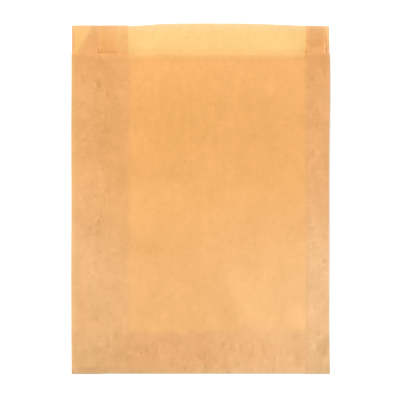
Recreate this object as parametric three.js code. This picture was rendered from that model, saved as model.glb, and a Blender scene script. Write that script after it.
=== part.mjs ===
// A flat counter bag folded and glued from one sheet of thin brown kraft paper, lying
// on its back. It is a tube with a folded-in gusset at each side and a glued lap along
// its back. The pressed bottom end of the tube is folded under the back and glued, and
// the front is cut lower than the back at the mouth, which leaves a lip of single paper.
//
// Millimetres. +X runs across the bag, +Y towards the mouth, +Z up out of the front.
// The origin is under the middle of the bag, on the surface that it lies on.

import * as THREE from 'three';

// Paper
const PAPER = 0.1;               // thickness of one ply
const SLACK = 0.05;              // air between pressed plies, where the lap is between them too
const STEP = 0.3;                // run over which a cut or a lapped edge steps

// Outline
const WIDTH = 250;               // side fold to side fold
const HEIGHT = 340;              // bottom fold to the middle of the lip
const LIP = 27;                  // back and gussets above the front's cut edge
const LIP_BOW = 1.2;             // middle of the lip above its ends

// Gussets, each a V of two plies between the front and the back
const LEFT_GUSSET = 25;
const RIGHT_GUSSET = 21.5;
const LEFT_NOTCH = 7.8;          // front ply cut away beside the left fold
const LEFT_NOTCH_RISE = 5.3;     // straight part of that cut
const LEFT_NOTCH_SLANT = 11;     // its slanted part, measured across the bag
const RIGHT_NOTCH = 3;

// Lap joint of the sheet's two edges, on the back
const LAP = 33;
const LAP_FROM_SIDE = 54;        // left side fold to the edge that lies outside

// Bottom
const FLAP = 36;                 // tube end folded under the back
const GLUED_END = 12;            // plies glued to each other at the flap's end
const FOLD_RADIUS = 0.15;        // inside radius of the bottom fold
const RAMP = 26;                 // back comes down from the flap to the table

// Air that the bag holds as it lies
const SIDE_LOFT = 3.2;           // front's side folds above the back's
const CROWN = 4;                 // middle of the front above its side folds
const FILL_LENGTH = 120;         // bottom edge to where the bag is full
const LIP_SETTLE = 0.5;          // share of the side loft that is left at the lip's top

// Fineness
const FOLD_FACETS = 3;
const BEND_FACETS = 6;
const FRONT_FACETS = 16;
const BACK_FACETS = 6;
const BODY_ROWS = 14;
const MOUTH_ROWS = 3;
const MOUTH_RUN = 14;            // rows lean towards the cut edges from here up

const PAPER_COLOUR = 0xe9b47a;

// Values worked out from the sizes above
const pitch = 2 * PAPER + SLACK;
const foldSweep = pitch / 2;
const side = WIDTH / 2 - foldSweep - PAPER / 2;
const frontLevel = 3 * pitch;
const middleLevel = 2 * pitch;
const stack = frontLevel + PAPER;
const foldY = -HEIGHT / 2 + FOLD_RADIUS + stack;
const foldZ = FOLD_RADIUS + stack;
const overFlap = foldZ + FOLD_RADIUS;
const lipEnds = HEIGHT / 2 - LIP_BOW;
const mouthY = lipEnds - LIP;

const smooth = (from, to, value) => THREE.MathUtils.smoothstep(value, from, to);
const mix = THREE.MathUtils.lerp;

// Height of the lip's cut edge at x: a shallow bow.
const lipTop = (x) => lipEnds + LIP_BOW * (1 - (x / side) ** 2);

// A station is one place on the pressed tube's section. x and height are the middle of
// the paper, (nx, nz) points out of the bag, out and in are the distances to its two
// faces, loft and crown are the shares it takes of those two lifts, and top is its cut
// edge at the mouth.
function station(x, height, nx, nz, loft, top, more = {}) {
  return { x, height, nx, nz, loft, top, crown: 0, out: PAPER / 2, in: PAPER / 2, ...more };
}

// Even steps from one x to another. The ends are left out, because folds make them.
function between(from, to, count) {
  return Array.from({ length: count - 1 }, (_, i) => mix(from, to, (i + 1) / count));
}

// A pressed fold at one side. It is half a turn from one ply up to the next: a side fold
// swells outwards, and a gusset's inner fold swells inwards, with its hollow side out.
function fold(x, lowerHeight, direction, hollow, upwards, loft, top) {
  const stations = [];
  for (let i = 0; i <= FOLD_FACETS; i += 1) {
    const turn = mix(-Math.PI / 2, Math.PI / 2, i / FOLD_FACETS) * (upwards ? 1 : -1);
    const nx = direction * Math.cos(turn);
    const nz = Math.sin(turn);
    const facing = hollow ? -1 : 1;
    stations.push(station(
      x + foldSweep * nx, lowerHeight + pitch / 2 + foldSweep * nz,
      facing * nx, facing * nz, loft, top,
    ));
  }
  return stations;
}

// The back, from the left fold to the right one. Left of the lap the sheet's outer edge
// strip lies on the table. The other edge climbs over it and ends inside the bag.
function backPly() {
  const outerEdge = -WIDTH / 2 + LAP_FROM_SIDE;
  const innerEdge = outerEdge - LAP;
  const doubled = { out: PAPER / 2, in: PAPER * 1.5 };
  const climbing = { out: -PAPER / 2, in: PAPER * 1.5 };
  const at = (x, more) => station(x, PAPER / 2, 0, -1, 0, lipTop(x), more);
  return [
    at(innerEdge), at(innerEdge + STEP, doubled), at((innerEdge + outerEdge) / 2, doubled),
    at(outerEdge, doubled), at(outerEdge + STEP, climbing), at(outerEdge + 4 * STEP),
    ...between(outerEdge + 4 * STEP, side, BACK_FACETS).map((x) => at(x)),
  ];
}

// The front, from the right fold to the left one. It sinks a ply lower between the
// gussets, and its crown is a full wave across the bag.
function frontPly() {
  const leftInner = -side + LEFT_GUSSET;
  const rightInner = side - RIGHT_GUSSET;
  return between(side, -side, FRONT_FACETS).map((x) => {
    const inner = x > 0 ? rightInner : -leftInner;
    const overGusset = smooth(inner / 2, inner, Math.abs(x));
    const height = mix(middleLevel, frontLevel, overGusset) + PAPER / 2;
    const crown = Math.cos((Math.PI * x) / (2 * side)) ** 2;
    return station(x, height, 0, 1, 1, mouthY, { crown });
  });
}

// The right gusset, from its back fold to its front fold, with a straight notch.
function rightGusset() {
  const inner = side - RIGHT_GUSSET;
  const notch = WIDTH / 2 - RIGHT_NOTCH;
  const share = (x) => 0.5 + 0.5 * (x - inner) / (side - inner);
  const front = (x, top) => station(x, 2 * pitch + PAPER / 2, 0, -1, share(x), top);
  return [
    ...fold(inner, pitch + PAPER / 2, -1, true, true, 0.5, lipTop(inner)),
    front(notch - STEP, lipTop(notch)), front(notch, mouthY),
  ];
}

// The left gusset, from its front fold to its back fold. Its notch is slanted.
function leftGusset() {
  const inner = -side + LEFT_GUSSET;
  const notch = -WIDTH / 2 + LEFT_NOTCH;
  const slantEnd = notch + STEP + LEFT_NOTCH_SLANT;
  const share = (x) => 0.5 + 0.5 * (inner - x) / (inner + side);
  const front = (x, top) => station(x, 2 * pitch + PAPER / 2, 0, -1, share(x), top);
  return [
    front(notch, mouthY), front(notch + STEP, mouthY + LEFT_NOTCH_RISE),
    front(slantEnd, lipTop(slantEnd)),
    ...fold(inner, pitch + PAPER / 2, 1, true, false, 0.5, lipTop(inner)),
  ];
}

// Once round the tube, starting on the back beside the left fold.
function section() {
  const backFold = PAPER / 2;
  const frontFold = 2 * pitch + PAPER / 2;
  return [
    ...backPly(),
    ...fold(side, backFold, 1, false, true, 0, lipEnds),
    ...rightGusset(),
    ...fold(side, frontFold, 1, false, true, 1, mouthY),
    ...frontPly(),
    ...fold(-side, frontFold, -1, false, false, 1, mouthY),
    ...leftGusset(),
    ...fold(-side, backFold, -1, false, false, 0, lipEnds),
  ];
}

// How full the bag is at y: empty over the flap, full in the body, half settled at the lip.
function fullness(y) {
  const filling = smooth(foldY, foldY + FILL_LENGTH, y);
  return filling * mix(1, LIP_SETTLE, smooth(mouthY, lipEnds, y));
}

// Places a point of the pressed tube. Its end runs back under the bag as the flap, turns
// half round the bottom fold, and then runs up the bag, where the plies part.
function lay(at, x, height, run) {
  const radius = FOLD_RADIUS + height;
  if (run < 0) return new THREE.Vector3(x, foldY - run, foldZ - radius);
  if (run < 1) {
    const turn = Math.PI * run;
    return new THREE.Vector3(x, foldY - radius * Math.sin(turn), foldZ - radius * Math.cos(turn));
  }
  const y = foldY + run - 1;
  const base = overFlap * (1 - smooth(foldY + FLAP, foldY + FLAP + RAMP, y));
  const rise = fullness(y) * (at.loft * SIDE_LOFT + at.crown * CROWN);
  return new THREE.Vector3(x, y, base + height + rise);
}

// Rows along the tube. Under 0 a row is on the flap, from 0 to 1 it goes round the bottom
// fold, and from 1 it is the way up the bag, ending at each station's own cut edge.
function rows(start) {
  const body = mouthY - MOUTH_RUN - foldY;
  const list = [() => start, () => start / 2];
  for (let i = 0; i <= BEND_FACETS; i += 1) list.push(() => i / BEND_FACETS);
  for (let i = 0; i <= BODY_ROWS; i += 1) list.push(() => 1 + mix(FLAP, body, i / BODY_ROWS));
  for (let i = 1; i <= MOUTH_ROWS; i += 1) {
    list.push((at) => 1 + mix(body, at.top - foldY, i / MOUTH_ROWS));
  }
  return list;
}

// One face of the paper, as rows of points round the tube.
function face(stations, start, offset) {
  return rows(start).map((row) => stations.map((at) => {
    const depth = offset(at);
    return lay(at, at.x + depth * at.nx, at.height + depth * at.nz, row(at));
  }));
}

// The closed sheet: its outer and inner faces, the cut edge at the mouth, and the two
// ends of the glued bottom. An end's outline is pinched a little before it is cut into
// triangles, because points in one straight line would be left out.
function paperBag() {
  const stations = section();
  const outer = face(stations, -FLAP, (at) => at.out);
  const inner = face(stations, -FLAP + GLUED_END, (at) => -at.in);
  const count = stations.length;
  const index = [];
  const strip = (a, b, flip) => {
    for (let i = 0; i < count; i += 1) {
      const j = (i + 1) % count;
      const [p, q] = flip ? [i, j] : [j, i];
      index.push(a + p, a + q, b + q, a + p, b + q, b + p);
    }
  };
  const end = (base, points, flip) => {
    const outline = stations.map((at, i) => {
      const pinch = (SLACK / 4) * (1 - (at.x / side) ** 2);
      return new THREE.Vector2(points[i].x, -points[i].z - pinch * at.nz);
    });
    for (const [p, q, r] of THREE.ShapeUtils.triangulateShape(outline, [])) {
      index.push(...(flip ? [base + p, base + q, base + r] : [base + r, base + q, base + p]));
    }
  };
  const innerBase = outer.length * count;
  outer.slice(1).forEach((_, i) => strip(i * count, (i + 1) * count, false));
  inner.slice(1).forEach((_, i) => strip(innerBase + i * count, innerBase + (i + 1) * count, true));
  strip(innerBase - count, innerBase + (inner.length - 1) * count, false);
  end(0, outer[0], true);
  end(innerBase, inner[0], false);
  const geometry = new THREE.BufferGeometry().setFromPoints([...outer, ...inner].flat());
  geometry.setIndex(index);
  geometry.computeVertexNormals();
  return geometry;
}

const paper = new THREE.MeshStandardMaterial({ color: PAPER_COLOUR, roughness: 0.8, metalness: 0 });
const bag = new THREE.Mesh(paperBag(), paper);
bag.name = 'paper_bag';

const model = new THREE.Group();
model.add(bag);

export default model;
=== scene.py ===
"""A flat kraft paper counter bag, lying on its back on a white table and seen from above."""

import math

import bpy
import mathutils
import numpy as np
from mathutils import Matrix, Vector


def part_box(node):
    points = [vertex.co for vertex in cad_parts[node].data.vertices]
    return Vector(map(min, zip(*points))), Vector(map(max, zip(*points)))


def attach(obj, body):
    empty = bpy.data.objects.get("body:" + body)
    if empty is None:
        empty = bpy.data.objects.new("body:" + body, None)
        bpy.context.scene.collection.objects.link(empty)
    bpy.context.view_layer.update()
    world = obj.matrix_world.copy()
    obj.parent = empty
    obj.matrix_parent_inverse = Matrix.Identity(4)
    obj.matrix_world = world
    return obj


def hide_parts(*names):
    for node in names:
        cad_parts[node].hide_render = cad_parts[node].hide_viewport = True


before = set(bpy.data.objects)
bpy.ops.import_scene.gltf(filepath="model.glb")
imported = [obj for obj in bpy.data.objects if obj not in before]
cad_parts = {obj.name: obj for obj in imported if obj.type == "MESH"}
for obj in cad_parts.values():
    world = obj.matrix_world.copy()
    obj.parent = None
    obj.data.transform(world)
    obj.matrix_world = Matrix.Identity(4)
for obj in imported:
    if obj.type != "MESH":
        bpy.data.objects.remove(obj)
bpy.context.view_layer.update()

# The folded sheet
# One sheet of thin brown kraft paper. It is folded into a tube with a gusset at each
# side, glued along a lap on its back, and closed by folding the pressed end of the tube
# under the back and gluing it down. The front is cut lower than the back at the mouth.

mm = 0.001
low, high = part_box("paper_bag")
half_width = (high[0] - low[0]) / 2
paper = 0.1 * mm                   # the sheet's thickness
pitch = 0.25 * mm                  # from one pressed ply to the next
left_gusset, right_gusset = 25 * mm, 21.5 * mm
left_notch, left_notch_rise, left_notch_slant = 7.8 * mm, 5.3 * mm, 12 * mm
right_notch_x = half_width - 3.4 * mm
notch_edge = 0.08 * mm             # what a notch's upright side takes across the bag
lap_outer_edge = -half_width + 54 * mm
lap_inner_edge = lap_outer_edge - 33 * mm
lap_glue_end = lap_outer_edge - 15 * mm
flap = 36 * mm                     # the tube's end, folded under the back
glued_end = 12 * mm                # the last of the flap, glued shut
fold_radius = 0.15 * mm            # inside the bottom fold
ramp = 26 * mm                     # over which the bag comes down off its flap
side_loft, crown_lift = 3.2 * mm, 4 * mm
fill_length = 120 * mm             # over which the front rises from the bottom
cockle_height, ripple_height = 0.4 * mm, 0.05 * mm
fold_ridge, lap_ridge, pucker_height = 0.10 * mm, 0.08 * mm, 0.10 * mm
front_curl, lip_curl = 0.5 * mm, 1.6 * mm
mouth_y = high[1] - 28.4 * mm
lip_y = high[1] - 1.9 * mm

sweep = pitch / 2                  # the radius of the side folds
side = half_width - sweep - paper / 2
stack = 3 * pitch + paper
fold_z = fold_radius + stack
fold_y = low[1] + fold_z
over_flap = fold_z + fold_radius   # how high the back lies on top of the flap
left_inner, right_inner = -side + left_gusset, side - right_gusset


def smooth(start, end, value):
    """Eases from 0 at start to 1 at end, as 3t^2 - 2t^3."""
    t = np.clip((value - start) / (end - start), 0, 1)
    return t * t * (3 - 2 * t)


def bump(value, centre, width):
    """A bell, 1 at the centre: exp(-((value - centre) / width)^2)."""
    return np.exp(-(((value - centre) / width) ** 2))


def waves(x, y, seed, count, shortest, longest, stretch=1.0):
    """A smooth random field of about -1 to 1: a sum of count cosines in random directions,
    with wavelengths between shortest and longest, drawn out along y by stretch."""
    draw = np.random.default_rng(seed)
    total = np.zeros(np.broadcast(x, y).shape)
    for _ in range(count):
        angle, phase = draw.uniform(0, 2 * math.pi, 2)
        number = 2 * math.pi / math.exp(draw.uniform(math.log(shortest), math.log(longest)))
        total += np.cos(number * (x * math.cos(angle) + y * math.sin(angle) / stretch) + phase)
    return total / math.sqrt(2 * count)


def lip_cut(x):
    """The back's cut edge: a low swell over the middle that runs out slowly to the right,
    and the lap's outer ply, which ends the width of a pencil line higher."""
    swell = 2.65 * mm * smooth(-78 * mm, -25 * mm, x) * (1 - smooth(35 * mm, 135 * mm, x))
    outer_ply = 0.9 * mm * (1 - smooth(lap_outer_edge - 0.6 * mm, lap_outer_edge + 0.8 * mm, x))
    return lip_y + swell + outer_ply + 0.12 * mm * waves(x, 0, 5, 5, 18 * mm, 60 * mm)


def mouth_cut(x):
    """The front's cut edge: nearly straight, with a nick beside the lap's edge."""
    nick = 1.6 * mm * bump(x, lap_outer_edge + 2 * mm, 5 * mm)
    return mouth_y - nick + 0.35 * mm * waves(x, 0, 11, 6, 30 * mm, 120 * mm)


def columns(x, height, facing, loft, cut, **more):
    """Columns of a flat ply: x across the bag, the height of the paper's middle in the
    pressed stack, the way it faces (1 up, -1 down), its share of the side loft and its cut
    edge. outer and inner are how far its two faces lie from the middle, front is 1 on the
    front panel, and on_back is 1 on a gusset's ply that lies on the back."""
    made = {"x": x, "height": height, "nx": 0, "nz": facing, "loft": loft, "cut": cut,
            "outer": paper / 2, "inner": paper / 2, "front": 0, "on_back": 0}
    made.update(more)
    return {key: np.broadcast_to(np.asarray(value, float), len(x)) for key, value in made.items()}


def turned(x, lower, direction, hollow, upwards, loft, cut, **more):
    """Columns of a fold: half a turn of radius sweep about (x, lower + sweep), bulging
    towards direction. The outer face is on the hollow side of a gusset's inner fold."""
    turn = np.linspace(-math.pi / 2, math.pi / 2, 5) * (1 if upwards else -1)
    nx, nz = direction * np.cos(turn), np.sin(turn)
    facing = -1 if hollow else 1
    made = columns(x + sweep * nx, lower + sweep + sweep * nz, 0, loft, cut, **more)
    made["nx"], made["nz"] = facing * nx, facing * nz
    return made


def across(start, end, step, *marks):
    """Even steps from start to end, both left out, with three close columns at each mark,
    where the paper steps or a ply behind it ends."""
    close, closest = 0.9 * mm, 0.25 * mm
    places = list(np.linspace(start, end, round(abs(end - start) / step) + 1)[1:-1])
    for mark in marks:
        places += [mark - close, mark, mark + close]
    places = np.array(sorted(p for p in places if min(start, end) < p < max(start, end)))
    keep = np.append(True, np.diff(places) > closest)
    return places[keep] if end > start else places[keep][::-1]


def back_ply():
    """The back, left to right. The lap doubles it: the outer ply lies on the table, and the
    inner one climbs over its edge."""
    x = across(-side, side, 4 * mm, lap_inner_edge, lap_outer_edge, right_inner, left_inner)
    lapped = smooth(lap_inner_edge - 0.2 * mm, lap_inner_edge + 0.2 * mm, x)
    lapped *= 1 - smooth(lap_outer_edge, lap_outer_edge + 2 * mm, x)
    return columns(x, paper / 2, -1, 0, lip_cut(x), inner=paper / 2 + paper * lapped)


def front_ply():
    """The front, right to left. It sinks onto the back between the gussets."""
    x = across(side, -side, 2.1 * mm, lap_inner_edge, lap_outer_edge, right_inner, left_inner)
    inner = np.where(x > 0, right_inner, -left_inner)
    over = smooth(inner - 9 * mm, inner - 1 * mm, np.abs(x))
    return columns(x, 2 * pitch + pitch * over + paper / 2, 1, 1, mouth_cut(x), front=1)


def right_gusset_plies():
    """The right gusset, from its back fold to its front one, with a straight notch."""
    lower = across(side, right_inner, 3 * mm)
    upper = across(right_inner, side, 3 * mm)
    upper = np.sort(np.append(upper, [right_notch_x - notch_edge, right_notch_x]))
    cut = np.where(upper < right_notch_x, lip_cut(upper), mouth_cut(upper))
    share = 0.5 * (upper - right_inner) / (side - right_inner)
    lower_share = 0.5 * (side - lower) / (side - right_inner)
    return [
        columns(lower, pitch + paper / 2, 1, lower_share, lip_cut(lower), on_back=1),
        turned(right_inner, pitch + paper / 2, -1, True, True, 0.5, lip_cut(right_inner)),
        columns(upper, 2 * pitch + paper / 2, -1, 0.5 + share, cut),
    ]


def left_gusset_plies():
    """The left gusset, from its front fold to its back one, with a slanted notch."""
    notch = -half_width + left_notch
    slant_end = notch + left_notch_slant
    upper = across(-side, left_inner, 3 * mm)
    upper = np.sort(np.append(upper, [notch, notch + notch_edge, slant_end]))
    lower = across(left_inner, -side, 3 * mm)
    slant = np.clip((upper - notch - notch_edge) / (slant_end - notch - notch_edge), 0, 1)
    rise = mouth_cut(upper) + left_notch_rise
    slanted = rise + slant * (lip_cut(upper) - rise)
    cut = np.where(upper > notch + notch_edge / 2, slanted, mouth_cut(upper))
    share = 0.5 * (left_inner - upper) / (left_inner + side)
    lower_share = 0.5 * (lower + side) / (left_inner + side)
    return [
        columns(upper, 2 * pitch + paper / 2, -1, 0.5 + share, cut),
        turned(left_inner, pitch + paper / 2, 1, True, False, 0.5, lip_cut(left_inner)),
        columns(lower, pitch + paper / 2, 1, lower_share, lip_cut(lower), on_back=1),
    ]


def section():
    """All columns once round the tube, starting on the back beside the left fold."""
    back_edge, front_edge = lip_cut(side), mouth_cut(side)
    back_fold, front_fold = paper / 2, 2 * pitch + paper / 2
    parts = [
        back_ply(),
        turned(side, back_fold, 1, False, True, 0, back_edge),
        *right_gusset_plies(),
        turned(side, front_fold, 1, False, True, 1, front_edge, front=1),
        front_ply(),
        turned(-side, front_fold, -1, False, False, 1, mouth_cut(-side), front=1),
        *left_gusset_plies(),
        turned(-side, back_fold, -1, False, False, 0, lip_cut(-side)),
    ]
    return {key: np.concatenate([part[key] for part in parts]) for key in parts[0]}


def rows(start):
    """The sheet's rows as (away from the bottom fold, turn round it, share of the way from
    the body's end to the cut edge). The flap is at turn 0 and the body at turn pi."""
    flap_rows, fold_rows, body_rows, cut_rows = 14, 8, 125, 24
    body = mouth_y - 14 * mm - fold_y
    table = [(away, 0, 0) for away in np.linspace(start, 0, flap_rows + 1)[:-1]]
    table += [(0, turn, 0) for turn in np.linspace(0, math.pi, fold_rows + 1)[:-1]]
    table += [(away, math.pi, 0) for away in np.linspace(0, body, body_rows + 1)]
    table += [(body, math.pi, 1 - (1 - step) ** 1.5) for step in np.linspace(0, 1, cut_rows + 1)[1:]]
    return np.array(table)


def fullness(y):
    """0 at the bottom fold, 1 from fill_length up, and 0 on the lip, which is pressed flat."""
    return smooth(fold_y, fold_y + fill_length, y) * (1 - smooth(mouth_y - 1 * mm, mouth_y + 8 * mm, y))


def lie(tube, table, depth):
    """Places one face of the sheet, depth from the paper's middle. The pressed tube's end
    runs under the bag, turns half round the bottom fold, and runs up the bag, where the
    plies part: z = base + height + fullness * (side loft + crown + cockles) + curls."""
    x = tube["x"] + depth * tube["nx"]
    height = tube["height"] + depth * tube["nz"]
    away, turn, share = (column[:, None] for column in table.T)
    radius = fold_radius + height
    y = fold_y + away + share * (tube["cut"] - fold_y - away) - radius * np.sin(turn)
    z = fold_z - radius * np.cos(turn)
    body = turn > 0.95 * math.pi
    base = over_flap * (1 - smooth(fold_y + flap, fold_y + flap + ramp, y)) - over_flap
    across_crown = np.cos(np.clip(x / side, -1, 1) * math.pi / 2) ** 2
    cockle = cockle_height * waves(x, y, 3, 14, 45 * mm, 140 * mm, 1.4)
    cockle += ripple_height * waves(x, y, 4, 26, 14 * mm, 32 * mm, 1.3)
    puff = (side_loft + cockle) * tube["loft"] + tube["front"] * crown_lift * across_crown
    curl = tube["front"] * front_curl * smooth(10 * mm, 0, tube["cut"] - y)
    curl += (1 - tube["front"]) * lip_curl * across_crown * smooth(mouth_y, lip_y + 3 * mm, y) ** 2
    z = z + body * (base + fullness(y) * puff + curl + pressed_relief(tube, x, y))
    sway = edge_sway(y, x > 0) / half_width
    return np.stack([x * (1 + sway), y, z + 0 * x], axis=-1)


def edge_sway(y, right):
    """How far each side fold wanders from a straight line down the bag."""
    right_sway = 0.85 * bump(y, 110 * mm, 45 * mm) + 0.7 * bump(y, -165 * mm, 22 * mm) + 0.1
    left_sway = 0.35 * bump(y, 60 * mm, 60 * mm) + 0.45 * bump(y, -90 * mm, 70 * mm) + 0.15
    return np.where(right, right_sway, left_sway) * mm


def pressed_relief(tube, x, y):
    """What the plies below press into the front: a low ridge along each gusset's inner fold
    and the lap's edge, and upright puckers where the flap's glue has drawn the paper."""
    ridge = fold_ridge * (bump(x, left_inner, 1.2 * mm) + bump(x, right_inner, 1.2 * mm))
    ridge = ridge + lap_ridge * bump(x, lap_outer_edge, 1.4 * mm)
    glued = smooth(fold_y, fold_y + 5 * mm, y) * (1 - smooth(fold_y + 28 * mm, fold_y + 50 * mm, y))
    pucker = pucker_height * glued * (1 + puckers(x, y))
    return tube["front"] * (ridge + pucker) * smooth(fold_y, fold_y + 4 * mm, y)


def past_lap_glue(x):
    """0 up to where the lap's glue ends, and 1 to the right of it."""
    return smooth(lap_glue_end, lap_glue_end + 3.5 * mm, x)


def plies_at(tube, x, y):
    """How many plies the light comes through at a place, counted through the whole bag. On
    the open lip they are the back, the gussets and the lap, which counts for more where
    it is glued, and painted shade beside the lap's edge and the right gusset's inner fold
    is added to the count as if it were plies. Over the body the front comes on top. It
    thins out towards its cut edge, the air below it blurs the edges that show through,
    and a strip along the left fold counts for less. The flap doubles the count, and its
    edge is softest right of the middle."""
    covered = np.where(tube["front"] > 0.5, 1, y < mouth_y - 4 * mm)
    blur = (1 + 3 * covered) * mm
    lapped = smooth(lap_inner_edge - blur, lap_inner_edge + blur, x)
    lapped = lapped * (1 - smooth(lap_outer_edge - blur, lap_outer_edge + 1.6 * blur, x))
    gussets = 1 - smooth(left_inner - blur, left_inner + blur, x)
    gussets = gussets + smooth(right_inner - blur, right_inner + blur, x)
    # Painted shade on the lip beside the lap's edge and the right gusset's inner fold, counted as extra
    # plies.
    painted_shade_near_ends = 0.2 * bump(x, lap_outer_edge, 16 * mm) * (1 - lapped) + 0.3 * bump(x, right_inner, 16 * mm)
    notched = np.where(x < 0, 0.6, 0.1)
    glue = 1.25 - 0.4 * past_lap_glue(x)
    open_lip = 1 + glue * lapped + np.where(tube["on_back"] == 1, notched, 1.75 * gussets) + painted_shade_near_ends
    inside_cut = smooth(-0.5 * mm, 7 * mm, tube["cut"] - y)
    closed = 1.5 + 0.5 * inside_cut + lapped + 2 * gussets
    closed = closed - 1.35 * (1 - smooth(3 * mm, 8 * mm, x + half_width))
    count = np.where(covered > 0.5, closed, open_lip)
    soft = (5 + 11 * smooth(30 * mm, 46 * mm, x) * (1 - smooth(80 * mm, 88 * mm, x))) * mm
    return count * (2 - smooth(-soft, soft, y - flap_edge(x)))


def flap_edge(x):
    """Where the flap's end shows through the body: wavy, as the glue has drawn it, and
    lower at the right, where a corner of it has folded over."""
    wavy = 2.6 * mm * waves(x, 0, 21, 12, 9 * mm, 80 * mm)
    return fold_y + flap + 3 * mm + wavy - 5 * mm * bump(x, 112 * mm, 9 * mm)


def near_fold(x, y):
    """1 on the side folds and the bottom fold, and almost nothing three millimetres in."""
    return bump(np.minimum(half_width - np.abs(x), y - low[1]), 0, 1.3 * mm)


def at_foot(y):
    """1 on the lowest few millimetres of the bag, beside the bottom fold."""
    return 1 - smooth(fold_y + 3 * mm, fold_y + 9 * mm, y)


def pale_at(tube, x, y):
    """How pale the paper is: that of the body and of the lip, and the worn folds."""
    return pale_body(x, y) + pale_lip(tube, x, y) + 0.9 * near_fold(x, y)


def pale_body(x, y):
    """The body is paler towards the bottom, most so at the left and the right, on the bands
    that the gussets make, and at the foot."""
    down = 1 - smooth(-105 * mm, 50 * mm, y)
    left, middle = 1 - smooth(-90 * mm, -60 * mm, x), smooth(0, 40 * mm, x)
    over_gusset = smooth(right_inner - 3 * mm, right_inner + 3 * mm, x)
    right = smooth(50 * mm, 98 * mm, x) + 2 * over_gusset
    bands = 1 - smooth(-108 * mm, -90 * mm, x) + over_gusset
    bands *= smooth(-110 * mm, -40 * mm, y) * (1 - smooth(100 * mm, 140 * mm, y))
    body = down * (0.38 + 0.16 * middle + 0.15 * right + 0.25 * left)
    return body + 0.2 * bands + 0.35 * at_foot(y)


def pale_lip(tube, x, y):
    """The lip is paler towards its cut edge, which curls up and thins out, most so where it
    is a single ply. The lap's unglued part is pale too, and a line on the right notch is
    made lighter with painted light, where the raised plies beside it shade it."""
    lip = 0.3 * smooth(lip_y - 16 * mm, lip_y, y)
    thinned = np.exp(-(tube["cut"] - y).clip(0) / (2.6 * mm)) * (tube["front"] < 0.5)
    single = smooth(lap_outer_edge, lap_outer_edge + 4 * mm, x)
    single *= 1 - smooth(right_inner - 2 * mm, right_inner, x)
    unglued = past_lap_glue(x) * (1 - smooth(lap_outer_edge - 2 * mm, lap_outer_edge, x))
    # Painted light in the right notch, where the raised plies beside it shade it.
    notch_painted_light = bump(x, right_notch_x + 0.8 * mm, 1.4 * mm) * bump(y, mouth_y + 2 * mm, 6 * mm)
    return lip + thinned * (0.7 + 1.3 * single) + (0.2 * unglued + 1.2 * notch_painted_light) * (y > mouth_cut(x))


# Soft marks on the paper, listed from the mouth down: x, y, half width and half
# height in millimetres, and how much lighter.
marks = [
    (109, 164, 4, 3, -0.04), (52, 141, 5, 1.3, 0.04), (95, 140, 8, 6, -0.03), (-108, 116, 8, 9, -0.03),
    (70, 112, 4, 9, 0.012), (66, 108, 9, 9, 0.07), (-71, 102, 14, 8, 0.035), (-91, 99, 2, 12, -0.014),
    (-84, 94, 5, 1, 0.02), (12, 92, 10, 4, -0.01), (45, 92, 8, 14, -0.03), (90, 92, 14, 10, 0.03),
    (-112, 90, 10, 10, 0.01), (115, 88, 12, 22, 0.01), (-28, 80, 21, 40, -0.05), (-111, 66, 5, 11, -0.03),
    (78, 65, 22, 18, 0.015), (60, 62, 14, 9, -0.01), (106, 62, 14, 40, 0.01), (-96, 60, 8, 18, -0.012),
    (-75, 38, 7, 6, 0.012), (-119, 36, 9, 14, 0.02), (112, 36, 12, 16, 0.025), (-5, 30, 11, 8, -0.02),
    (-34, 24, 32, 9, -0.05), (-109, 22, 14, 18, 0.03), (88, 22, 7, 18, 0.01), (-88, 12, 6, 9, -0.012),
    (55, 6, 22, 10, 0.03), (-79, -2, 7, 7, -0.016), (-22, -2, 22, 13, 0.028), (118, -22, 8, 14, 0.01),
    (-104, -26, 18, 14, -0.1), (39, -38, 14, 12, -0.04), (-49, -47, 25, 9, -0.055),
    (-121, -50, 6, 16, 0.01), (-102, -51, 3, 11, -0.05), (-41, -62, 8, 8, -0.03), (49, -62, 9, 10, -0.04),
    (119, -62, 8, 24, 0.025), (79, -72, 4, 14, -0.04), (62, -84, 10, 12, 0.012), (-20, -92, 7, 20, 0.03),
    (53, -106, 16, 16, 0.05), (79, -110, 4, 14, -0.035), (92, -114, 8, 9, 0.06),
    (-40, -118, 14, 7, 0.01), (-87, -121, 14, 10, -0.02), (119, -128, 6, 4, 0.05),
    (91, -136, 4, 6, -0.05), (108, -139, 4, 8, 0.03), (72, -141, 30, 11, 0.05), (-61, -146, 9, 5, -0.035),
    (70, -150, 32, 18, 0.02), (-86, -152, 5, 4, -0.025), (-42, -153, 4, 4, -0.045),
    (-94, -155, 9, 12, -0.03), (-72, -155, 28, 9, -0.045), (112, -161, 9, 12, -0.04),
]


def light_at(tube, x, y):
    """How much lighter or darker the paper is than its plies alone make it: painted broad
    light and shade, marks, folds darkened by painted shade, painted light at its cut edges,
    painted shade and tone at its glued end, and painted light and shade along its creases."""
    # Painted shade darkens the side and bottom folds, over painted broad light and shade.
    total = painted_broad_shading(x, y) + marked_light(x, y) - 0.07 * near_fold(x, y)
    return total + painted_light_at_mouth(tube, x, y) + bottom_tone_and_painted_shade(x, y) + painted_crease_light_and_shade(tube, x, y)


def painted_broad_shading(x, y):
    """Painted broad light and shade of the swelling front: a lighter band below the mouth
    and a darker one below that, a darker upper half, most so at the left, and a lighter
    right side and lower right."""
    inner_part = smooth(-75 * mm, -55 * mm, x) * (1 - smooth(96 * mm, 104 * mm, x))
    total = 0.99 + 0.035 * inner_part * bump(y, mouth_y - 9 * mm, 22 * mm) - 0.02 * bump(y, 68 * mm, 45 * mm)
    total -= smooth(-20 * mm, 100 * mm, y) * (0.024 + 0.02 * (1 - smooth(-72 * mm, -55 * mm, x)))
    total += 0.045 * smooth(0, 70 * mm, x) * (1 - smooth(-70 * mm, -10 * mm, y))
    return total + 0.03 * smooth(45 * mm, 110 * mm, x) * bump(y, 50 * mm, 55 * mm)


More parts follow.
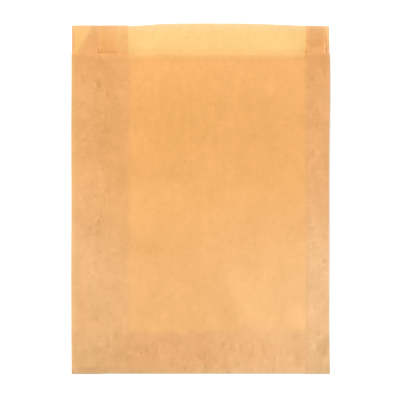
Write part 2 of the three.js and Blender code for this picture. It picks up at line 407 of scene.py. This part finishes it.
def marked_light(x, y):
    """The soft marks, and two that have an edge low on the bag: a lighter patch with a
    slanting left side, and a darker one with an upright right side."""
    total = np.zeros(np.broadcast(x, y).shape)
    for place_x, place_y, wide, tall, strength in marks:
        total += strength * bump(x, place_x * mm, wide * mm) * bump(y, place_y * mm, tall * mm)
    slant = 17 * mm - (y + 40 * mm) * 0.24
    lighter = bump(x, slant + 8 * mm, 16 * mm) * bump(y, -85 * mm, 38 * mm)
    lighter *= smooth(-1.5 * mm, 1.5 * mm, x - slant) - 0.35
    darker = (1 - smooth(36 * mm, 37.5 * mm, x)) * bump(x, 32 * mm, 14 * mm) * bump(y, -118 * mm, 10 * mm)
    return total + 0.045 * lighter - 0.03 * darker


def painted_light_at_mouth(tube, x, y):
    """Painted light at the mouth: a painted highlight along the front's cut edge over the
    gussets, and painted light on the lip beyond it, where the raised front shades it,
    with lighter painted lines at the gussets' inner folds and at the right notch."""
    beside = 1 - smooth(-74 * mm, -66 * mm, x) + smooth(100 * mm, 106 * mm, x)
    # A painted highlight where the front's cut edge catches the light.
    cut_edge_highlight = bump(tube["cut"] - y, 0.9 * mm, 1.2 * mm) * (tube["front"] > 0.5)
    beyond = (y - mouth_cut(x)).clip(0)
    lifted = np.exp(-beyond / (5 * mm))
    # Painted light that lifts the shade on the lip under the front's raised edge, at the gussets' inner
    # folds and in the right notch.
    glow = 0.08 * np.exp(-beyond / (1.6 * mm)) + 0.015 * np.exp(-beyond / (9 * mm))
    glow += 0.12 * smooth(right_notch_x - 1 * mm, right_notch_x, x)
    glow += (0.06 + 0.10 * lifted) * bump(x, left_inner, 1.1 * mm) + 0.05 * bump(x, right_inner, 0.9 * mm)
    glow += (0.02 + 0.18 * lifted) * bump(x, right_notch_x + 0.8 * mm, 1.1 * mm)
    return 0.05 * cut_edge_highlight * beside + glow * (tube["front"] < 0.5) * (y > mouth_cut(x) - 1 * mm)


def bottom_tone_and_painted_shade(x, y):
    """The folded end: painted light and shade along the puckers where the glue has taken,
    darker sides, a foot darkened by painted shade beside the bottom fold, with a darker
    strip at its left and the gusset's inner fold at its right, and the slanting edge of a
    corner that is folded over below."""
    glued = 1 - smooth(fold_y + 24 * mm, fold_y + 46 * mm, y)
    # Painted light on the puckers' ridges and painted shade in their hollows.
    streaks = puckers(x, y) * (0.25 + 0.75 * smooth(-40 * mm, 10 * mm, x))
    sides = 1 - smooth(-75 * mm, -40 * mm, x) + smooth(75 * mm, 105 * mm, x)
    # Painted shade: a strip at the foot's left, the gusset's inner fold low at the right, and the foot
    # beside the bottom fold.
    strip = (1 - smooth(fold_y + 6 * mm, fold_y + 7.4 * mm, y)) * (1 - smooth(-75 * mm, -73 * mm, x))
    line = bump(x, right_inner, 0.9 * mm) * (1 - smooth(-158 * mm, -148 * mm, y))
    foot = 0.04 + 0.05 * (1 - smooth(-30 * mm, 20 * mm, x)) + 0.07 * smooth(100 * mm, 106 * mm, x)
    corner = smooth(-1.5 * mm, 1.5 * mm, x - y - 256 * mm) * smooth(110 * mm, 114 * mm, x)
    corner *= smooth(-153 * mm, -139 * mm, y)
    total = glued * (0.03 * streaks - 0.035 * sides) - foot * at_foot(y)
    return total - 0.035 * strip - 0.06 * line - 0.11 * corner


def puckers(x, y):
    """Upright wrinkles of -1 to 1, drawn out along the bag: sharp ridges, round hollows."""
    return 1 - 2 * np.abs(waves(x, y, 8, 30, 7 * mm, 22 * mm, 3.0)).clip(0, 1) ** 0.7


def painted_crease_light_and_shade(tube, x, y):
    """Painted light and shade where the gussets' inner folds press into the front: a
    straight line down the right one, lighter beside a darker fold, and a broken, wandering
    darker one on the left, where the lap lies over it, with a faint straight stretch low
    down."""
    # Painted light beside the right fold and painted shade on it; painted shade along the left one.
    right_line = bump(x, right_inner - 0.9 * mm, 0.7 * mm) - 1.5 * bump(x, right_inner, 0.7 * mm)
    total = 0.025 * right_line * (1 - smooth(-60 * mm, -20 * mm, y))
    place = left_inner + 4 * mm + 3.5 * mm * waves(0, y, 31, 8, 25 * mm, 110 * mm)
    broken = waves(x, y, 33, 16, 10 * mm, 40 * mm, 1.5).clip(-0.2, 1)
    total -= 0.028 * broken * bump(x, place, 1.6 * mm) * smooth(-110 * mm, -60 * mm, y)
    total -= 0.012 * bump(x, left_inner, 0.9 * mm) * bump(y, -88 * mm, 30 * mm)
    return total * (tube["front"] > 0.5)


def crease_shading_at(x, y):
    """How strongly the painted light and shade of creases shows: most in the left band, where
    the gusset's inner fold and the lap wrinkle the paper, some in the right band and over
    the glued flap, a little all over, and half as much on the lip."""
    left_band = bump(x, left_inner + 4 * mm, 8 * mm) * smooth(-130 * mm, -60 * mm, y)
    right_band = bump(x, right_inner + 6 * mm, 10 * mm)
    glued = 1 - smooth(fold_y + 20 * mm, fold_y + 44 * mm, y)
    return (0.25 + left_band + 0.3 * right_band + 0.45 * glued) * np.where(y > mouth_cut(x), 0.5, 1)


most_plies = 10                    # what the mesh stores as 1


def sheet_mesh():
    """The closed sheet: an outer and an inner grid, the cut edge that joins them at the
    mouth, and two caps, one at the flap's end and one inside, where the glue begins."""
    tube = section()
    count = len(tube["x"])
    outer = lie(tube, rows(flap), tube["outer"])
    inner = lie(tube, rows(flap - glued_end), -tube["inner"])
    verts = np.concatenate([outer.reshape(-1, 3), inner.reshape(-1, 3)])
    n_rows = len(outer)
    here = np.arange(count)
    after = np.roll(here, -1)
    grid = np.stack([here, after, after + count, here + count], axis=-1)
    steps = np.arange(n_rows - 1)[:, None, None] * count
    outer_faces = (grid + steps).reshape(-1, 4)
    inner_faces = (grid[:, ::-1] + steps).reshape(-1, 4) + n_rows * count
    last = (n_rows - 1) * count
    rim = np.stack([here, after, after + n_rows * count, here + n_rows * count], axis=-1) + last
    faces = np.concatenate([outer_faces, inner_faces, rim])
    ends = [list(here[::-1]), list(here + n_rows * count)]
    mesh = bpy.data.meshes.new("paper_bag_sheet")
    mesh.from_pydata(verts.tolist(), [], faces.tolist() + ends)
    both = {key: np.tile(np.tile(value, n_rows), 2) for key, value in tube.items()}
    x, y = verts[:, 0], verts[:, 1]
    add_value(mesh, "plies", plies_at(both, x, y) / most_plies)
    add_value(mesh, "pale", pale_at(both, x, y))
    add_value(mesh, "light", light_at(both, x, y))
    add_value(mesh, "creased", crease_shading_at(x, y))
    mesh.polygons.foreach_set("use_smooth", [True] * len(mesh.polygons))
    mesh.update()
    return mesh


def add_value(mesh, name, values):
    """Stores one number a vertex under a name that the material reads."""
    attribute = mesh.attributes.new(name, "FLOAT", "POINT")
    attribute.data.foreach_set("value", np.asarray(values, np.float32).ravel())


bag = bpy.data.objects.new("kraft_bag", sheet_mesh())
bpy.context.collection.objects.link(bag)


def linear(red, green, blue):
    """A display colour of 0 to 255 as the linear colour that a shader takes."""
    return [((c / 255 + 0.055) / 1.055) ** 2.4 for c in (red, green, blue)] + [1]


def add(tree, kind, **inputs):
    """Adds a shader node and sets or links its inputs. From_Min stands for the socket
    From Min, and _0 for the first socket."""
    node = tree.nodes.new(kind)
    for name, value in inputs.items():
        socket = node.inputs[int(name[1:])] if name[0] == "_" else node.inputs[name.replace("_", " ")]
        if isinstance(value, bpy.types.NodeSocket):
            tree.links.new(value, socket)
        else:
            socket.default_value = value
    return node


def calc(tree, operation, first, second=0.0, third=0.0):
    """One step of arithmetic on numbers or sockets, and its result's socket."""
    node = add(tree, "ShaderNodeMath", _0=first, _1=second, _2=third)
    node.operation = operation
    return node.outputs[0]


def stored(tree, name):
    """A number that the mesh stores at each vertex."""
    node = add(tree, "ShaderNodeAttribute")
    node.attribute_name = name
    return node.outputs["Fac"]


def mottle(tree, place, size, detail, strength, stretch=(1, 1, 1)):
    """Soft random tone about 0, with blots of the given size drawn out by stretch."""
    scaled = add(tree, "ShaderNodeMapping", Vector=place, Scale=[1 / s for s in stretch])
    noise = add(tree, "ShaderNodeTexNoise", Vector=scaled.outputs[0], Scale=1 / size, Detail=detail,
                Roughness=0.55)
    return calc(tree, "MULTIPLY_ADD", noise.outputs["Fac"], strength, -strength / 2)


def specks(tree, place, size, share, strength, stretch):
    """Small blots of one tone. A blot lies about the middle of a Voronoi cell, and only
    the given share of the cells has one."""
    wobble = add(tree, "ShaderNodeTexNoise", Vector=place, Scale=0.7 / size, Detail=1)
    moved = add(tree, "ShaderNodeVectorMath", _0=wobble.outputs["Color"], _1=(size,) * 3, _2=place)
    moved.operation = "MULTIPLY_ADD"
    scaled = add(tree, "ShaderNodeMapping", Vector=moved.outputs[0], Scale=[1 / s for s in stretch])
    cells = add(tree, "ShaderNodeTexVoronoi", Vector=scaled.outputs[0], Scale=1 / size)
    cells.voronoi_dimensions = "2D"
    blot = add(tree, "ShaderNodeMapRange", Value=cells.outputs["Distance"], From_Min=0.05, From_Max=0.42,
               To_Min=strength, To_Max=0)
    chosen = add(tree, "ShaderNodeSeparateColor", Color=cells.outputs["Color"])
    there = calc(tree, "LESS_THAN", chosen.outputs[0], share)
    depth = calc(tree, "MULTIPLY", chosen.outputs[1], blot.outputs[0])
    return calc(tree, "MULTIPLY", there, depth)


def creases(tree, place, size, strength, stretch):
    """Painted light and shade of wandering creases, lighter on one side and darker on the
    other: s * exp(-s^2), where s goes with how far a noise is from its middle. A second
    noise breaks them up."""
    s = mottle(tree, place, size, 1.5, 14, stretch)
    bell = calc(tree, "EXPONENT", calc(tree, "MULTIPLY", calc(tree, "MULTIPLY", s, s), -1))
    broken = calc(tree, "MAXIMUM", mottle(tree, place, 0.7 * size, 1, 6), 0)
    crease = calc(tree, "MULTIPLY", calc(tree, "MULTIPLY", s, bell), broken)
    return calc(tree, "MULTIPLY", crease, strength)


def ply_tone(tree):
    """The paper's colour by how many plies lie over one another."""
    ramp = add(tree, "ShaderNodeValToRGB", Fac=stored(tree, "plies"))
    stops = ramp.color_ramp.elements
    single, many = stops[0], stops[1]
    single.position, single.color = 1 / most_plies, linear(252, 210, 135)
    many.position, many.color = 8 / most_plies, linear(229, 168, 105)
    for plies, colour in [(2, (243, 177, 105)), (3, (233, 170, 106)), (4, (233, 168, 105))]:
        stops.new(plies / most_plies).color = linear(*colour)
    return ramp.outputs["Color"]


def kraft_paper():
    """Thin brown kraft. Its tone goes by how many plies the light comes through and by the
    pale and light values of the mesh, which carry painted light and shade too. Clouds,
    blots, fibres, specks and the painted light and shade of fine creases make it uneven,
    more so where the plies are many. The blots and a fine fuzz raise it."""
    material = bpy.data.materials.new("kraft_paper")
    material.use_nodes = True
    tree = material.node_tree
    shader = tree.nodes["Principled BSDF"]
    place = add(tree, "ShaderNodeTexCoord").outputs["Object"]

    lighter = add(tree, "ShaderNodeMix", Factor=calc(tree, "MULTIPLY", stored(tree, "pale"), 0.4))
    lighter.data_type = "RGBA"
    tree.links.new(ply_tone(tree), lighter.inputs[6])
    lighter.inputs[7].default_value = linear(255, 219, 171)

    clouds = mottle(tree, place, 26 * mm, 2, 0.13, (1, 1.2, 1))
    blots = mottle(tree, place, 8 * mm, 3, 0.13, (1, 1.3, 1))
    across = mottle(tree, place, 2.4 * mm, 2, 0.05, (2.6, 0.8, 1))
    along = mottle(tree, place, 1.8 * mm, 2, 0.02, (0.8, 2.4, 1))
    dashes = specks(tree, place, 3.4 * mm, 0.14, -0.045, (2.6, 0.7, 1))
    dark = specks(tree, place, 6.2 * mm, 0.22, -0.06, (1, 1.3, 1))
    light = specks(tree, place, 7.3 * mm, 0.22, 0.05, (1.4, 0.9, 1))
    # Painted light and shade of fine creases, upright and level, where the mesh says the paper is creased.
    upright = creases(tree, place, 11 * mm, 0.16, (0.8, 2.2, 1))
    level = creases(tree, place, 9 * mm, 0.06, (2.4, 0.7, 1))
    wrinkles = calc(tree, "MULTIPLY", calc(tree, "ADD", upright, level), stored(tree, "creased"))
    uneven = blots
    for part in (clouds, across, along, dashes, dark, light, wrinkles):
        uneven = calc(tree, "ADD", uneven, part)
    more_plies = add(tree, "ShaderNodeMapRange", Value=stored(tree, "plies"), From_Min=2 / most_plies,
                     From_Max=4 / most_plies, To_Min=0.9, To_Max=1.4)
    tone = calc(tree, "MULTIPLY_ADD", uneven, more_plies.outputs[0], stored(tree, "light"))
    richer = calc(tree, "MULTIPLY_ADD", tone, -0.24, 1.24)
    toned = add(tree, "ShaderNodeHueSaturation", Saturation=richer, Value=tone, Color=lighter.outputs[2])
    tree.links.new(toned.outputs["Color"], shader.inputs["Base Color"])

    fuzz = mottle(tree, place, 0.5 * mm, 4, 1.0, (1, 3, 1))
    raised = calc(tree, "ADD", fuzz, calc(tree, "MULTIPLY", blots, 4.0))
    relief = add(tree, "ShaderNodeBump", Height=raised, Strength=0.25, Distance=0.05 * mm)
    tree.links.new(relief.outputs["Normal"], shader.inputs["Normal"])
    rough = calc(tree, "ADD", calc(tree, "MULTIPLY", blots, 1.6), 0.68)
    tree.links.new(rough, shader.inputs["Roughness"])
    shader.inputs["Specular IOR Level"].default_value = 0.25
    return material


bag.data.materials.append(kraft_paper())
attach(bag, "root")
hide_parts("paper_bag")

# The table
# A plain white surface that the bag lies on. It is matt, it takes the bag's soft shadow,
# and it shows as the white of the background.

floor_mesh = bpy.data.meshes.new("table_top")
reach = 2.0
floor_mesh.from_pydata([(-reach, -reach, 0), (reach, -reach, 0), (reach, reach, 0), (-reach, reach, 0)],
                       [], [(0, 1, 2, 3)])
table_top = bpy.data.objects.new("table_top", floor_mesh)
bpy.context.collection.objects.link(table_top)


def seen_directly(tree):
    """1 for the camera and for what gloss and glass show of the background, else 0."""
    path = add(tree, "ShaderNodeLightPath")
    camera_or_gloss = add(tree, "ShaderNodeMath", _0=path.outputs["Is Camera Ray"],
                          _1=path.outputs["Is Glossy Ray"])
    seen = add(tree, "ShaderNodeMath", _0=camera_or_gloss.outputs[0],
               _1=path.outputs["Is Transmission Ray"])
    for node in (camera_or_gloss, seen):
        node.operation = "ADD"
        node.use_clamp = True
    return seen.outputs[0]


def table_white():
    """Matt white, lifted to the background's white where it is looked at directly."""
    material = bpy.data.materials.new("table_white")
    material.use_nodes = True
    tree = material.node_tree
    shader = tree.nodes["Principled BSDF"]
    shader.inputs["Base Color"].default_value = (0.8, 0.8, 0.8, 1)
    shader.inputs["Roughness"].default_value = 0.9
    shader.inputs["Specular IOR Level"].default_value = 0
    lift_to_white = 0.45
    lift = calc(tree, "MULTIPLY", seen_directly(tree), lift_to_white)
    shader.inputs["Emission Color"].default_value = (1, 1, 1, 1)
    tree.links.new(lift, shader.inputs["Emission Strength"])
    return material


floor_mesh.materials.append(table_white())
table_top.location.z = -0.02 * mm

# Light
# An even white studio: light from all round, and a broad lamp above the mouth's left.
# Where it is looked at directly, the surround is the white of the background.

world = bpy.data.worlds.new("studio")
bpy.context.scene.world = world
world.use_nodes = True
surround = world.node_tree.nodes["Background"]
surround.inputs["Color"].default_value = (1, 1, 1, 1)
studio_strength, background_white = 0.66, 1.0
strength = add(world.node_tree, "ShaderNodeMapRange", Value=seen_directly(world.node_tree),
               To_Min=studio_strength, To_Max=background_white)
world.node_tree.links.new(strength.outputs["Result"], surround.inputs["Strength"])

lamp_data = bpy.data.lights.new("broad_lamp", "AREA")
lamp_data.shape = "DISK"
lamp_data.size = 1.2
lamp_data.energy = 13
lamp = bpy.data.objects.new("broad_lamp", lamp_data)
bpy.context.collection.objects.link(lamp)
lamp.location = (-0.5, 0.8, 1.3)
lamp.rotation_euler = mathutils.Vector(lamp.location).to_track_quat("Z", "Y").to_euler()

# Camera
# Straight above the bag, far off with a long lens, as in the photograph. The bag lies
# a hair off the middle of the picture.

frame_side = 389.3 * mm            # what the picture's side takes in
camera_height = 1.7
camera_x, camera_y = -0.44 * mm, -0.89 * mm
camera_data = bpy.data.cameras.new("camera")
sensor_width = 36
camera_data.sensor_width = sensor_width
camera_data.lens = sensor_width * camera_height / frame_side
camera = bpy.data.objects.new("camera", camera_data)
bpy.context.collection.objects.link(camera)
camera.location = (camera_x, camera_y, camera_height)
bpy.context.scene.camera = camera
bpy.context.scene.view_settings.view_transform = "Standard"
